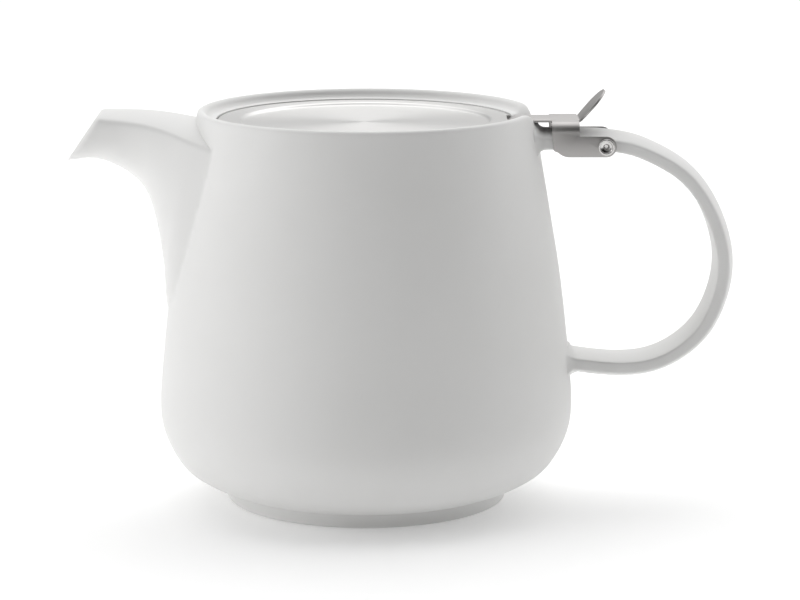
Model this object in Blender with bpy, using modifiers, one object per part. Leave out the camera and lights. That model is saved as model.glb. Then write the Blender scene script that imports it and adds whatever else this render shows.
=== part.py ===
"""Porcelain teapot with a hinged steel lid and a hanging, perforated infuser.

The pot stands on z = 0 with its spout towards -X and its handle towards +X.
All sizes below are in millimetres, measured from the pot's own turning axis;
an empty carries that axis to its place, so that the whole box is centred on the origin.
"""

import math

import bmesh
import bpy
from mathutils import Vector

MM = 0.001
GAP = 0.3

# Overall reach of the pot along X, from its turning axis.
SPOUT_TIP_X = -104.7
HANDLE_REACH_X = 129.4
AXIS_X = -(SPOUT_TIP_X + HANDLE_REACH_X) / 2

# Pot body.
TURN_STEPS = 48
BELLY_R = 73.0
BELLY_Z = 35.0
FOOT_R = 49.6
FOOT_Z = 5.4
FOOT_INNER_R = 44.4
RECESS_Z = 2.6
FLOOR_Z = 6.8
WALL = 4.4
LIP_R = 57.5
LIP_Z = 138.4
BORE_R = 52.3
LEDGE_R = 47.6
LEDGE_Z = 131.2
NOTCH_HALF_W = 8.6
NOTCH_Z = 130.7
NOTCH_SHOULDER = [(8.6, 134.1), (10.0, 135.2), (12.0, 136.4), (14.0, 137.3), (16.0, 137.95), (19.0, 138.6)]
POUR_HOLE_Z = 102.0
POUR_HOLE_HALF_W = 12.0
POUR_HOLE_HALF_H = 19.0

# Spout.
SPOUT_WALL = 3.2
ROOF_DROP = 0.185
KEEL_ROUNDNESS = 0.82
FLARE = 1.1

# Handle: a flat strap with a domed outer face.
HANDLE_HALF_W = 11.5
STRAP_EDGE = 4.0
STRAP_DOME = 2.3
STRAP_CHAMFER = 0.7

# Hinge.
PIN_X = 83.5
PIN_Z = 126.8
PIN_R = 1.3
PIN_BORE_R = PIN_R + GAP
PIN_HEAD_R = 2.9
PIN_HEAD_T = 0.8
PIN_HOLE_R = 0.9
PIN_RECESS_R = 2.1
PIN_RECESS_DEPTH = 2.2
CUTTER_LENGTH = 40

# Clip: a thin saddle fixed over the strap.
CLIP_SHEET = 0.6
CLIP_Y = HANDLE_HALF_W + GAP + CLIP_SHEET / 2
CLIP_TOP_Z = 132.6
CLIP_FRONT_X = 65.2
CLIP_REAR_X = 73.4
CLIP_BEND_R = 3.6
CLIP_END_R = 3.1

# Lever: tongue, arm, ears and thumb tab.
LEVER_SHEET = 0.7
EAR_Y = CLIP_Y + CLIP_SHEET / 2 + GAP + LEVER_SHEET / 2
LEVER_BEND_R = 3.1
TONGUE_Z = 133.5
TONGUE_FRONT_X = 46.0
TONGUE_REAR_X = 50.2
JOGGLE_REAR_X = 52.6
ARM_HALF_W = 7.75
ARM_TOP_Z = 135.3
PLATE_FRONT_X = 64.7
PLATE_REAR_X = 74.2
EAR_END_R = 3.6
EAR_CORNER_R = 5.9
TAB_SLOPE_DEG = 48.5
TAB_BEND_R = 1.0
TAB_BEND_STEPS = 3
TAB_LENGTH = 13.0
TAB_HALF_W = 8.7
TAB_WIDEST = 5.3
TAB_ROOT_HALF_W = 7.4

# Lid.
LID_R = 51.6
LID_TOP_Z = 135.0
LID_STEP_R = 43.6
LID_PLATEAU_Z = 133.9
LID_SHEET = 0.8
LID_SKIRT_Z = 132.7
LID_SLOT_X = 49.5
LID_SLOT_HALF_W = 8.2

# Infuser.
INFUSER_R = 43.4
INFUSER_SHEET = 0.6
INFUSER_TOP_Z = 131.0
INFUSER_FLOOR_Z = 35.6
INFUSER_FLANGE_R = 51.4
COLLAR_R = INFUSER_R + INFUSER_SHEET / 2 + GAP
COLLAR_SHEET = 0.7
COLLAR_BOTTOM_Z = 124.0
HOOP_HEIGHT = 9.0
HOOP_LIP = 3.4
HOLE_COLUMNS = 20
HOLE_ROWS = 6
PLAIN_BAND = 9.5
HOLE_MARGIN = 1.4
FLOOR_SECTORS = 24
FLOOR_HOLE_MARGIN = 1.3


# ---------------------------------------------------------------- scene and materials

def clear_scene():
    for old in list(bpy.data.objects):
        bpy.data.objects.remove(old, do_unlink=True)


def new_collection(name):
    collection = bpy.data.collections.new(name)
    bpy.context.scene.collection.children.link(collection)
    return collection


def new_material(name, colour, roughness, metallic=0.0):
    material = bpy.data.materials.new(name)
    material.use_nodes = True
    shader = material.node_tree.nodes["Principled BSDF"]
    shader.inputs["Base Color"].default_value = (*colour, 1.0)
    shader.inputs["Roughness"].default_value = roughness
    shader.inputs["Metallic"].default_value = metallic
    material.diffuse_color = (*colour, 1.0)
    return material


def add_object(name, mesh, collection, parent, material=None, smooth=True):
    thing = bpy.data.objects.new(name, mesh)
    collection.objects.link(thing)
    thing.parent = parent
    if material:
        mesh.materials.append(material)
    if smooth:
        mesh.shade_smooth()
        mesh.set_sharp_from_angle(angle=math.radians(35))
    return thing


def add_cutter(name, mesh, cutters, parent):
    cutter = add_object(name, mesh, cutters, parent, smooth=False)
    cutter.display_type = "WIRE"
    cutter.hide_render = True
    return cutter


def cut(thing, cutter):
    boolean = thing.modifiers.new("cut " + cutter.name, "BOOLEAN")
    boolean.object = cutter
    boolean.operation = "DIFFERENCE"
    boolean.solver = "EXACT"


# ---------------------------------------------------------------- curves and shapes

def spline(points, steps):
    """Points on a smooth curve through the given ones, with steps between each pair."""
    ends = [2 * Vector(points[0]) - Vector(points[1]), 2 * Vector(points[-1]) - Vector(points[-2])]
    knots = [ends[0]] + [Vector(p) for p in points] + [ends[1]]
    curve = []
    for i in range(1, len(knots) - 2):
        before, start, end, after = knots[i - 1:i + 3]
        for k in range(steps):
            t = k / steps
            pull = 2 * start + (end - before) * t
            bend = (2 * before - 5 * start + 4 * end - after) * t ** 2
            twist = (3 * start - before - 3 * end + after) * t ** 3
            curve.append((pull + bend + twist) / 2)
    curve.append(knots[-2])
    return curve


def arc(centre, radius, start_deg, end_deg, steps):
    """Points of a circular arc, both ends included."""
    points = []
    for k in range(steps + 1):
        angle = math.radians(start_deg + (end_deg - start_deg) * k / steps)
        points.append((centre[0] + radius * math.cos(angle), centre[1] + radius * math.sin(angle)))
    return points


def profile_mesh(name, profile, closed):
    """A chain of edges in the XZ plane, for a Screw modifier to turn."""
    mesh = bpy.data.meshes.new(name)
    points = [(r * MM, 0.0, z * MM) for r, z in profile]
    edges = [(i, i + 1) for i in range(len(points) - 1)]
    if closed:
        edges.append((len(points) - 1, 0))
    mesh.from_pydata(points, edges, [])
    return mesh


def turn(thing, steps=TURN_STEPS):
    screw = thing.modifiers.new("turn", "SCREW")
    screw.axis = "Z"
    screw.steps = steps
    screw.render_steps = steps
    screw.use_merge_vertices = True
    screw.merge_threshold = 0.00001
    screw.use_smooth_shade = True


def loft_mesh(name, sections):
    """A closed skin over equal-sized rings of points, capped at both ends."""
    work = bmesh.new()
    rings = [[work.verts.new(Vector(p) * MM) for p in section] for section in sections]
    count = len(rings[0])
    for first, second in zip(rings, rings[1:]):
        for k in range(count):
            following = (k + 1) % count
            work.faces.new((first[k], first[following], second[following], second[k]))
    work.faces.new(list(reversed(rings[0])))
    work.faces.new(rings[-1])
    bmesh.ops.recalc_face_normals(work, faces=work.faces)
    mesh = bpy.data.meshes.new(name)
    work.to_mesh(mesh)
    work.free()
    return mesh


def sheet_mesh(name, faces):
    """Flat faces that share their edges, as the middle surface of bent sheet metal."""
    work = bmesh.new()
    for face in faces:
        work.faces.new([work.verts.new(Vector(p) * MM) for p in face])
    bmesh.ops.remove_doubles(work, verts=work.verts, dist=0.00001)
    bmesh.ops.recalc_face_normals(work, faces=work.faces)
    mesh = bpy.data.meshes.new(name)
    work.to_mesh(mesh)
    work.free()
    return mesh


def mirror_and_thicken(thing, thickness):
    mirror = thing.modifiers.new("mirror", "MIRROR")
    mirror.use_axis = (False, True, False)
    mirror.use_clip = True
    mirror.merge_threshold = 0.00001
    thicken(thing, thickness)


def thicken(thing, thickness):
    solid = thing.modifiers.new("thickness", "SOLIDIFY")
    solid.thickness = thickness * MM
    solid.offset = 0.0
    solid.use_even_offset = True


def box_mesh(name, low, high):
    work = bmesh.new()
    bmesh.ops.create_cube(work, size=1.0)
    size = Vector(high) - Vector(low)
    middle = (Vector(high) + Vector(low)) / 2
    bmesh.ops.scale(work, vec=size * MM, verts=work.verts)
    bmesh.ops.translate(work, vec=middle * MM, verts=work.verts)
    mesh = bpy.data.meshes.new(name)
    work.to_mesh(mesh)
    work.free()
    return mesh


def cylinder_mesh(name, radius, length, segments):
    work = bmesh.new()
    bmesh.ops.create_cone(work, cap_ends=True, segments=segments, radius1=radius * MM,
                          radius2=radius * MM, depth=length * MM)
    mesh = bpy.data.meshes.new(name)
    work.to_mesh(mesh)
    work.free()
    return mesh


# ---------------------------------------------------------------- porcelain

def belly_curve():
    """The pot's outer side as (radius, height), from under the lip down to the foot."""
    side = [(59.4, 134.0), (61.8, 120.0), (65.25, 100.0), (68.5, 80.0), (71.3, 56.0), (BELLY_R, BELLY_Z)]
    base = [(BELLY_R, BELLY_Z), (71.5, 24.0), (66.3, 14.0), (60.0, 9.0), (52.5, FOOT_Z + 0.2)]
    return spline(side, 2)[:-1] + spline(base, 3)


def foot_curve():
    return [(FOOT_R + 0.4, FOOT_Z), (FOOT_R + 0.2, 3.5), (FOOT_R, 0.6), (FOOT_R - 0.6, 0.0),
            (FOOT_INNER_R + 0.8, 0.0), (FOOT_INNER_R, 0.7), (FOOT_INNER_R - 0.4, RECESS_Z), (0.0, RECESS_Z)]


def rim_curve():
    """The seat for infuser and lid, then the rounded lip, from inside to outside."""
    seat = [(LEDGE_R, 129.2), (LEDGE_R, LEDGE_Z - 0.4), (LEDGE_R + 0.4, LEDGE_Z), (BORE_R, LEDGE_Z)]
    shelf = [(BORE_R, 134.9), (BORE_R + 0.4, 135.3), (54.2, 135.5), (55.1, 136.4)]
    lip = [(56.1, 137.9), (LIP_R, LIP_Z), (58.5, 137.9), (59.0, 136.4)]
    return seat + shelf + lip


def inner_curve():
    """The hollow of the pot from the middle of its floor up to the seat's underside."""
    floor = [(0.0, FLOOR_Z), (46.0, FLOOR_Z), (56.0, 10.4), (64.5, 18.5)]
    wall = [(BELLY_R - WALL, BELLY_Z), (71.3 - WALL, 56.0), (68.5 - WALL, 80.0), (65.25 - WALL, 100.0),
            (57.0, 120.0), (49.0, 128.0)]
    return floor + wall


def notch_mesh():
    """The cutter for the lever's notch: straight walls below, soft shoulders in the lip above."""
    side = [(NOTCH_HALF_W, NOTCH_Z)] + NOTCH_SHOULDER
    side.append((NOTCH_SHOULDER[-1][0], LIP_Z + 4))
    outline = side + [(-y, z) for y, z in reversed(side)]
    return loft_mesh("rim_notch", [[(x, y, z) for y, z in outline] for x in (BORE_R - 6, 64)])


def make_pot_body(parts, cutters, axis, porcelain):
    profile = inner_curve() + rim_curve() + [tuple(p) for p in belly_curve()] + foot_curve()
    mesh = profile_mesh("pot_body", profile, closed=False)
    pot = add_object("pot_body", mesh, parts, axis, porcelain, False)
    turn(pot)
    cut(pot, add_cutter("rim_notch", notch_mesh(), cutters, axis))
    hole = add_cutter("pour_hole", cylinder_mesh("pour_hole", 1.0, 1.0, 20), cutters, axis)
    hole.location = Vector((-62, 0, POUR_HOLE_Z)) * MM
    hole.rotation_euler = (0, math.radians(90), 0)
    hole.scale = (POUR_HOLE_HALF_H, POUR_HOLE_HALF_W, 26)
    cut(pot, hole)
    return pot


def make_envelope(cutters, axis):
    """The pot's outside, a gap larger, which trims what is joined to it."""
    outside = [(0.0, LIP_Z + 6), (LIP_R, LIP_Z + 6)]
    outside += [(r + GAP, z) for r, z in rim_curve()[-2:]]
    outside += [(p[0] + GAP, p[1]) for p in belly_curve()]
    outside += [(0.0, FOOT_Z)]
    envelope = add_cutter("pot_envelope", profile_mesh("pot_envelope", outside, closed=False), cutters, axis)
    turn(envelope)
    return envelope


def set_in(points, distance):
    """The same run of points moved sideways, to its right."""
    moved = []
    for k, point in enumerate(points):
        run = (points[min(k + 1, len(points) - 1)] - points[max(k - 1, 0)]).normalized()
        moved.append(point + Vector((run[1], -run[0])) * distance)
    return moved


def spout_stations(wall):
    """Keel point, crest point and half width of each section, from the root to the mouth."""
    keel = [(-60, 56), (-69.2, 66), (-71, 84), (-73.2, 98.5), (-76.6, 109.5), (-82, 115.7),
            (-89.5, 119.9), (-96.5, 121.4), (SPOUT_TIP_X, 120.3)]
    crest = [(-48, 133.2), (-59, 134.9), (-65.5, 136.2), (-71.5, 137.2), (-77.5, 137.8), (-82.5, 138.0),
             (-86.5, 138.1), (-89.7, 138.1), (-92.4, 138.1)]
    width = [33, 26, 22, 18.8, 16.2, 14.4, 13.3, 12.6, 12]
    inner_keel = set_in([Vector(p) for p in keel], wall)
    inner_crest = set_in([Vector(p) for p in crest], -wall)
    return list(zip(inner_keel, inner_crest, [w - wall for w in width]))


def spout_section(keel, crest, half):
    """A rounded keel under a gently arched roof."""
    foot = Vector((keel[0], 0, keel[1]))
    rise = Vector((crest[0], 0, crest[1])) - foot
    height = rise.length
    up = rise.normalized()
    drop = ROOF_DROP * half
    side = []
    for k in range(1, 8):
        turn_angle = math.radians(90 * k / 7)
        rise_share = (1 - math.cos(turn_angle)) ** FLARE
        side.append((half * math.sin(turn_angle) ** KEEL_ROUNDNESS, (height - drop) * rise_share))
    roof = [(half * t, height - drop * t * t) for t in (0.55, 0.0)]
    right = side + roof
    left = [(-y, v) for y, v in reversed(side + roof[:1])]
    return [foot + Vector((0, y, 0)) + up * v for y, v in [(0.0, 0.0)] + right + left]


def make_spout(parts, cutters, axis, porcelain, envelope):
    skin = [spout_section(*station) for station in spout_stations(0.0)]
    spout = add_object("spout", loft_mesh("spout", skin), parts, axis, porcelain)
    hollow = [spout_section(*station) for station in spout_stations(SPOUT_WALL)]
    hollow[-1] = [last + (last - before) * 0.4 for before, last in zip(hollow[-2], hollow[-1])]
    channel = add_cutter("spout_channel", loft_mesh("spout_channel", hollow), cutters, axis)
    cut(spout, channel)
    cut(spout, envelope)
    return spout


def handle_curve():
    """The strap's flat inner face in side view, from the upper root round to the lower one."""
    return spline([(54, 125.5), (70, 125.4), (84.5, 124.9), (96, 122.2), (109.5, 114.4), (118.2, 102.6),
                   (122.9, 88), (121.9, 74.5), (115.6, 61.4), (103.5, 52.4), (88, 50.0), (62, 53.2)], 3)


def strap_section(point, outward):
    """One cross-section: flat inside, 4 mm edges and a domed outside."""
    half = HANDLE_HALF_W
    inside = [(-half + STRAP_CHAMFER, 0.0), (half - STRAP_CHAMFER, 0.0), (half, STRAP_CHAMFER)]
    dome = [(half * t, STRAP_EDGE + STRAP_DOME * (1 - t * t)) for t in (1.0, 0.6, 0.0, -0.6, -1.0)]
    ring = inside + dome + [(-half, STRAP_CHAMFER)]
    return [Vector((point[0] + outward[0] * d, y, point[1] + outward[1] * d)) for y, d in ring]


def make_handle(parts, cutters, axis, porcelain, envelope):
    curve = handle_curve()
    sections = []
    for k, point in enumerate(curve):
        run = (curve[min(k + 1, len(curve) - 1)] - curve[max(k - 1, 0)]).normalized()
        sections.append(strap_section(point, Vector((-run[1], run[0]))))
    handle = add_object("handle", loft_mesh("handle", sections), parts, axis, porcelain)
    cut(handle, envelope)
    cut(handle, pin_cutter("handle_bore", PIN_BORE_R, CUTTER_LENGTH, cutters, axis))
    return handle


# ---------------------------------------------------------------- hinge

def pin_cutter(name, radius, length, cutters, axis):
    cutter = add_cutter(name, cylinder_mesh(name, radius, length, 16), cutters, axis)
    cutter.location = Vector((PIN_X, 0, PIN_Z)) * MM
    cutter.rotation_euler = (math.radians(90), 0, 0)
    return cutter


def bend_faces(x_low, x_high, y_side, z_top, radius, steps=6):
    """A quarter bend from a level plate down into a flange at y_side."""
    arc_points = arc((y_side - radius, z_top - radius), radius, 90, 0, steps)
    faces = []
    for (y0, z0), (y1, z1) in zip(arc_points, arc_points[1:]):
        faces.append([(x_low, y0, z0), (x_high, y0, z0), (x_high, y1, z1), (x_low, y1, z1)])
    return faces


def make_handle_clip(parts, cutters, axis, steel):
    """A fixed saddle of thin sheet that sits over the strap under the lever."""
    front, rear = CLIP_FRONT_X, CLIP_REAR_X
    side_y, side_z = CLIP_Y - CLIP_BEND_R, CLIP_TOP_Z - CLIP_BEND_R
    level = [(x, y, CLIP_TOP_Z) for x, y in ((front, 0), (rear, 0), (rear, side_y), (front, side_y))]
    outline = [(front, side_z), (rear, side_z), (rear + 1.2, PIN_Z + CLIP_END_R)]
    outline += arc((PIN_X, PIN_Z), CLIP_END_R, 90, -90, 8)
    outline += [(70.4, PIN_Z - CLIP_END_R), (66.2, 124.9), (front, 125.7)]
    flange = [(x, CLIP_Y, z) for x, z in outline]
    faces = [level, flange] + bend_faces(front, rear, CLIP_Y, CLIP_TOP_Z, CLIP_BEND_R)
    clip = add_object("handle_clip", sheet_mesh("handle_clip", faces), parts, axis, steel)
    mirror_and_thicken(clip, CLIP_SHEET)
    cut(clip, pin_cutter("clip_bore", PIN_BORE_R, CUTTER_LENGTH, cutters, axis))
    return clip


def make_hinge_pin(parts, axis, steel):
    """A semi-tubular rivet, turned, then laid along Y."""
    half = EAR_Y + LEVER_SHEET / 2 + GAP
    end = half + PIN_HEAD_T
    profile = [(0.0, end - PIN_RECESS_DEPTH), (PIN_HOLE_R - 0.1, end - PIN_RECESS_DEPTH),
               (PIN_HOLE_R, half + 0.1), (PIN_RECESS_R, end - 0.1), (PIN_RECESS_R + 0.2, end),
               (PIN_HEAD_R - 0.3, end), (PIN_HEAD_R, end - 0.3), (PIN_HEAD_R, half), (PIN_R, half)]
    profile += [(r, -z) for r, z in reversed(profile)]
    pin = add_object("hinge_pin", profile_mesh("hinge_pin", profile, closed=False), parts, axis, steel, False)
    pin.location = Vector((PIN_X, 0, PIN_Z)) * MM
    pin.rotation_euler = (math.radians(90), 0, 0)
    turn(pin, 20)
    return pin


def make_lid_lever(parts, cutters, pivot, steel):
    """Tongue under the lid, arm through the rim, two ears round the strap and the thumb tab."""
    front, rear, width = PLATE_FRONT_X, PLATE_REAR_X, ARM_HALF_W
    level_z = ARM_TOP_Z - LEVER_SHEET / 2
    side_y = EAR_Y - LEVER_BEND_R
    root_y = TAB_ROOT_HALF_W
    tongue = [(TONGUE_FRONT_X, 0, TONGUE_Z), (TONGUE_REAR_X, 0, TONGUE_Z), (TONGUE_REAR_X, width, TONGUE_Z),
              (TONGUE_FRONT_X + 1.0, width, TONGUE_Z), (TONGUE_FRONT_X, width - 1.0, TONGUE_Z)]
    joggle = [(TONGUE_REAR_X, 0, TONGUE_Z), (JOGGLE_REAR_X, 0, level_z), (JOGGLE_REAR_X, width, level_z),
              (TONGUE_REAR_X, width, TONGUE_Z)]
    arm = [(JOGGLE_REAR_X, 0, level_z), (front, 0, level_z), (front, width, level_z),
           (JOGGLE_REAR_X, width, level_z)]
    plate = [(front, 0, level_z), (rear, 0, level_z), (rear, root_y, level_z), (rear, side_y, level_z),
             (front, side_y, level_z), (front, width, level_z)]
    faces = [tongue, joggle, arm, plate] + bend_faces(front, rear, EAR_Y, level_z, LEVER_BEND_R)
    faces.append([(x, EAR_Y, z) for x, z in ear_outline(level_z - LEVER_BEND_R)])
    faces += tab_faces(level_z)
    lever = add_object("lid_lever", sheet_mesh("lid_lever", move_to_pin(faces)), parts, pivot, steel)
    mirror_and_thicken(lever, LEVER_SHEET)
    cut(lever, pin_cutter("ear_bore", PIN_BORE_R, CUTTER_LENGTH, cutters, pivot.parent))
    return lever


def ear_outline(top):
    """The ear's edge in side view, with a round end at the rivet and a rounded front corner."""
    low = PIN_Z - EAR_END_R
    corner = (PLATE_FRONT_X + EAR_CORNER_R + 0.3, low + EAR_CORNER_R)
    outline = [(PLATE_FRONT_X, top), (PLATE_REAR_X, top), (PLATE_REAR_X, PIN_Z + EAR_END_R)]
    outline += arc((PIN_X, PIN_Z), EAR_END_R, 88, -90, 9)
    outline += arc(corner, EAR_CORNER_R, -90, -166, 5)
    return outline


def tab_faces(root_z):
    """The thumb tab: a small bend up, then a flat tongue with rounded corners."""
    slope = math.radians(TAB_SLOPE_DEG)
    rows = []
    for k in range(TAB_BEND_STEPS + 1):
        angle = slope * k / TAB_BEND_STEPS
        rise = TAB_BEND_R * (1 - math.cos(angle))
        rows.append((PLATE_REAR_X + TAB_BEND_R * math.sin(angle), root_z + rise))
    faces = []
    for (x0, z0), (x1, z1) in zip(rows, rows[1:]):
        faces.append([(x0, 0, z0), (x1, 0, z1), (x1, TAB_ROOT_HALF_W, z1), (x0, TAB_ROOT_HALF_W, z0)])
    edge = [(0.0, 0.0), (TAB_LENGTH, 0.0)]
    for along, across in arc((0, 0), 1.0, 0, 90, 8)[1:]:
        edge.append((TAB_WIDEST + (TAB_LENGTH - TAB_WIDEST) * along, TAB_HALF_W * across))
    edge += [(2.6, TAB_HALF_W - 0.3), (0.0, TAB_ROOT_HALF_W)]
    start_x, start_z = rows[-1]
    faces.append([(start_x + a * math.cos(slope), y, start_z + a * math.sin(slope)) for a, y in edge])
    return faces


def move_to_pin(faces):
    """The same faces measured from the hinge axis."""
    return [[(x - PIN_X, y, z - PIN_Z) for x, y, z in face] for face in faces]


# ---------------------------------------------------------------- lid

def make_lid_disc(parts, cutters, pivot, steel):
    """A pressed disc: sunken middle, raised ring and a short skirt turned down."""
    top, low, sheet = LID_TOP_Z, LID_PLATEAU_Z, LID_SHEET
    upper = [(0.0, low), (LID_STEP_R - 0.9, low), (LID_STEP_R - 0.3, low + 0.2),
             (LID_STEP_R + 0.3, top - 0.2), (LID_STEP_R + 0.9, top), (LID_R - 0.9, top),
             (LID_R - 0.2, top - 0.3), (LID_R, top - 1.0), (LID_R, LID_SKIRT_Z)]
    lower = [(LID_R - sheet, LID_SKIRT_Z), (LID_R - sheet, top - sheet - 0.2),
             (LID_R - sheet - 0.3, top - sheet), (LID_STEP_R + 1.3, top - sheet),
             (LID_STEP_R + 0.3, low - sheet), (0.0, low - sheet)]
    local = [(r, z - PIN_Z) for r, z in upper + lower]
    mesh = profile_mesh("lid_disc", local, closed=False)
    disc = add_object("lid_disc", mesh, parts, pivot, steel, False)
    disc.location = Vector((-PIN_X, 0, 0)) * MM
    turn(disc)
    low_corner = (LID_SLOT_X, -LID_SLOT_HALF_W, LID_SKIRT_Z - 2)
    slot = box_mesh("lid_slot", low_corner, (56, LID_SLOT_HALF_W, top + 2))
    cut(disc, add_cutter("lid_slot", slot, cutters, pivot.parent))
    return disc


# ---------------------------------------------------------------- infuser

def pierce(work, faces, margin):
    """Opens a hole in each face, with an even rim of metal left round it."""
    work.normal_update()
    bmesh.ops.inset_individual(work, faces=faces, thickness=margin * MM)
    bmesh.ops.delete(work, geom=faces, context="FACES")


def make_infuser_wall(parts, axis, steel):
    """A plain band at the top and bottom with rows of holes between them."""
    bottom, top = INFUSER_FLOOR_Z + 0.1, INFUSER_TOP_Z
    pitch = (top - bottom - 2 * PLAIN_BAND) / HOLE_ROWS
    levels = [bottom] + [bottom + PLAIN_BAND + pitch * k for k in range(HOLE_ROWS + 1)] + [top]
    columns = 2 * HOLE_COLUMNS
    work = bmesh.new()
    rings = []
    for z in levels:
        ring = []
        for k in range(columns):
            angle = 2 * math.pi * k / columns
            place = (INFUSER_R * math.cos(angle), INFUSER_R * math.sin(angle), z)
            ring.append(work.verts.new(Vector(place) * MM))
        rings.append(ring)
    holes = []
    for row, (low, high) in enumerate(zip(rings, rings[1:])):
        for k in range(columns):
            following = (k + 1) % columns
            face = work.faces.new((low[k], low[following], high[following], high[k]))
            if 0 < row <= HOLE_ROWS and (k + row) % 2:
                holes.append(face)
    pierce(work, holes, HOLE_MARGIN)
    mesh = bpy.data.meshes.new("infuser_wall")
    work.to_mesh(mesh)
    work.free()
    wall = add_object("infuser_wall", mesh, parts, axis, steel)
    thicken(wall, INFUSER_SHEET)
    return wall


def make_infuser_floor(parts, axis, steel):
    """A disc pierced in rings, with a plain centre and a plain margin."""
    radii = [8.0, 16.0, 24.0, 32.0, 39.0, INFUSER_R - 0.7]
    work = bmesh.new()
    rings = []
    for radius in radii:
        ring = []
        for k in range(FLOOR_SECTORS):
            angle = 2 * math.pi * k / FLOOR_SECTORS
            place = (radius * math.cos(angle), radius * math.sin(angle), 0)
            ring.append(work.verts.new(Vector(place) * MM))
        rings.append(ring)
    work.faces.new(rings[0])
    holes = []
    for row, (inner, outer) in enumerate(zip(rings, rings[1:])):
        for k in range(FLOOR_SECTORS):
            following = (k + 1) % FLOOR_SECTORS
            face = work.faces.new((inner[k], outer[k], outer[following], inner[following]))
            if 1 <= row <= 3 and (k + row) % 2:
                holes.append(face)
    pierce(work, holes, FLOOR_HOLE_MARGIN)
    mesh = bpy.data.meshes.new("infuser_floor")
    work.to_mesh(mesh)
    work.free()
    floor = add_object("infuser_floor", mesh, parts, axis, steel)
    floor.location = Vector((0, 0, INFUSER_FLOOR_Z)) * MM
    thicken(floor, INFUSER_SHEET)
    return floor


def make_infuser_rim(parts, axis, steel):
    """The flange that hangs on the seat, with a collar round the top of the wall."""
    inner, outer, seat = COLLAR_R, COLLAR_R + COLLAR_SHEET, LEDGE_Z + GAP
    top = seat + COLLAR_SHEET
    profile = [(inner, top - 0.3), (inner + 0.3, top), (INFUSER_FLANGE_R - 0.2, top),
               (INFUSER_FLANGE_R, top - 0.2), (INFUSER_FLANGE_R, seat), (outer, seat),
               (outer, COLLAR_BOTTOM_Z), (inner, COLLAR_BOTTOM_Z)]
    mesh = profile_mesh("infuser_rim", profile, closed=True)
    rim = add_object("infuser_rim", mesh, parts, axis, steel, False)
    turn(rim)
    return rim


def make_infuser_band(parts, axis, steel):
    """The hoop that ties the wall to the floor."""
    inner, outer = COLLAR_R, COLLAR_R + INFUSER_SHEET
    floor_z = INFUSER_FLOOR_Z - INFUSER_SHEET / 2 - GAP
    profile = [(inner, floor_z + HOOP_HEIGHT), (outer, floor_z + HOOP_HEIGHT), (outer, floor_z),
               (inner, floor_z - INFUSER_SHEET), (INFUSER_R - HOOP_LIP, floor_z - INFUSER_SHEET),
               (INFUSER_R - HOOP_LIP, floor_z), (inner, floor_z)]
    mesh = profile_mesh("infuser_band", profile, closed=True)
    band = add_object("infuser_band", mesh, parts, axis, steel, False)
    turn(band)
    return band


# ---------------------------------------------------------------- assembly

def main():
    clear_scene()
    parts = new_collection("teapot_infuser")
    cutters = new_collection("cutters")
    porcelain = new_material("porcelain", (0.86, 0.86, 0.85), 0.55)
    brushed = new_material("brushed_steel", (0.62, 0.61, 0.60), 0.35, 1.0)
    bright = new_material("bright_steel", (0.66, 0.66, 0.66), 0.22, 1.0)
    mesh_steel = new_material("infuser_steel", (0.60, 0.60, 0.60), 0.32, 1.0)

    axis = bpy.data.objects.new("pot_axis", None)
    parts.objects.link(axis)
    axis.location = (AXIS_X * MM, 0, 0)
    pivot = bpy.data.objects.new("lid_pivot", None)
    parts.objects.link(pivot)
    pivot.parent = axis
    pivot.location = Vector((PIN_X, 0, PIN_Z)) * MM

    envelope = make_envelope(cutters, axis)
    make_pot_body(parts, cutters, axis, porcelain)
    make_spout(parts, cutters, axis, porcelain, envelope)
    make_handle(parts, cutters, axis, porcelain, envelope)
    make_handle_clip(parts, cutters, axis, brushed)
    make_hinge_pin(parts, axis, bright)
    make_lid_lever(parts, cutters, pivot, brushed)
    make_lid_disc(parts, cutters, pivot, brushed)
    make_infuser_rim(parts, axis, mesh_steel)
    make_infuser_wall(parts, axis, mesh_steel)
    make_infuser_floor(parts, axis, mesh_steel)
    make_infuser_band(parts, axis, mesh_steel)
    bpy.context.view_layer.update()


main()
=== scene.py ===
"""Looks of the porcelain teapot with a hinged steel lid and a hanging infuser.

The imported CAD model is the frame: the driving sizes are read from its nodes' boxes, and
every piece rides on one of its bodies. Lengths of the pieces are written in millimetres,
measured from the pot's turning axis and the table, and MM turns them into metres.
"""

import math

import bmesh
import bpy
from mathutils import Matrix, Vector


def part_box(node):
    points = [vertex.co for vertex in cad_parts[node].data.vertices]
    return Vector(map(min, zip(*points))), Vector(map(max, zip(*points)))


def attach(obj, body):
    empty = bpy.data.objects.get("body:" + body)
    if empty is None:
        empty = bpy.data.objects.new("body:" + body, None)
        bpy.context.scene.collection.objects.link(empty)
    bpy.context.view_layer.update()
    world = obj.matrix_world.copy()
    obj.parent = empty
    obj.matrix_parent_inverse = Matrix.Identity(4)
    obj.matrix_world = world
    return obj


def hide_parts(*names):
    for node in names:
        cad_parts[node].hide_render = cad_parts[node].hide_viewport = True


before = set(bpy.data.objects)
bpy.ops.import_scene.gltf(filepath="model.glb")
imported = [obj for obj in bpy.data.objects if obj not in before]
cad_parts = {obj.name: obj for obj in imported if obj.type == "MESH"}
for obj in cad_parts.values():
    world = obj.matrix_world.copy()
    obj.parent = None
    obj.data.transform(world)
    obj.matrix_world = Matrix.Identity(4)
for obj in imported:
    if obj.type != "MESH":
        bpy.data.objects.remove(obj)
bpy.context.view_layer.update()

MM = 0.001
SCRAP_FACES = 50        # a loose bit of surface with fewer faces than this is a scrap
WELD = 0.002            # points closer than this are one point
CORNER_SHARE = 0.48     # how much of a side its corner's curve may take up
AXIS_R = 1e-6           # a profile point nearer to the axis than this is on it

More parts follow.
